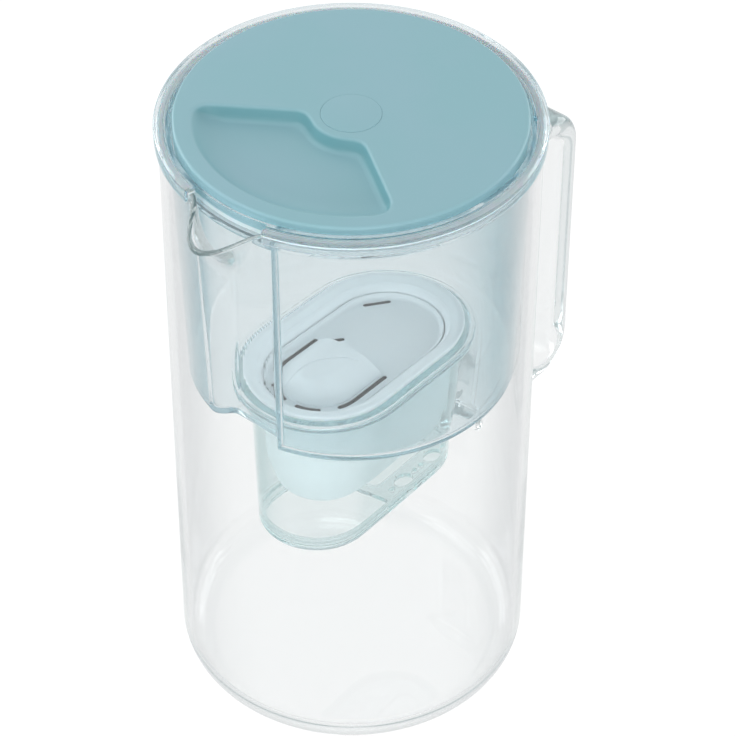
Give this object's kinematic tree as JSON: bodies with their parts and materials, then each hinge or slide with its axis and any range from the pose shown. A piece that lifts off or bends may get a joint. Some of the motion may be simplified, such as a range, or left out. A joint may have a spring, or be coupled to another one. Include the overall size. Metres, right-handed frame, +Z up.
{
  "type": "water filter pitcher",
  "caption": "Straight glass jug with spout and strap handle, lift-out clear hopper with a hanging filter cartridge, and a flat flip lid with a finger scoop.",
  "frame": {"origin": "centre of the jug's flat base, on the surface that it stands on", "axes": "+Z up along the jug's axis, -X towards the spout, +X towards the handle"},
  "size_m": [0.203, 0.139, 0.2588],
  "materials": {
    "glass": "clear polished glass",
    "hopper_clear": "clear aqua tinted plastic",
    "sleeve_clear": "clear green tinted plastic",
    "lid": "satin pale teal plastic",
    "liner": "satin pale plastic",
    "seal": "translucent silicone",
    "pin": "ground stainless steel",
    "cartridge": "satin pale blue plastic",
    "screen": "fine woven mesh",
    "media": "packed dark granules"
  },
  "bodies": {
    "jug": {"glass_jug": "glass", "glass_handle": "glass"},
    "hopper": {"hopper": "hopper_clear", "rim_gasket": "seal", "hinge_pins": "pin", "well_sleeve": "sleeve_clear", "well_base": "sleeve_clear"},
    "lid": {"lid_shell": "lid", "lid_cap": "lid", "lid_liner": "liner", "lid_seal": "seal"},
    "cartridge": {"cartridge_cup": "cartridge", "cartridge_cap": "cartridge", "cartridge_grip": "cartridge", "cartridge_seal": "seal", "upper_screen": "screen", "lower_screen": "screen", "filter_media": "media"}
  },
  "joints": [
    {"name": "hopper_lift", "type": "slide", "parent": "jug", "child": "hopper", "axis": [0, 0, 1], "range_m": [0, 0.18]},
    {"name": "lid_flip", "type": "hinge", "parent": "hopper", "child": "lid", "pos_m": [0.038, 0, 0.2554], "axis": [0, 1, 0], "range_deg": [0, 90]},
    {"name": "cartridge_lift", "type": "slide", "parent": "hopper", "child": "cartridge", "axis": [0, 0, 1], "range_m": [0, 0.07]}
  ]
}
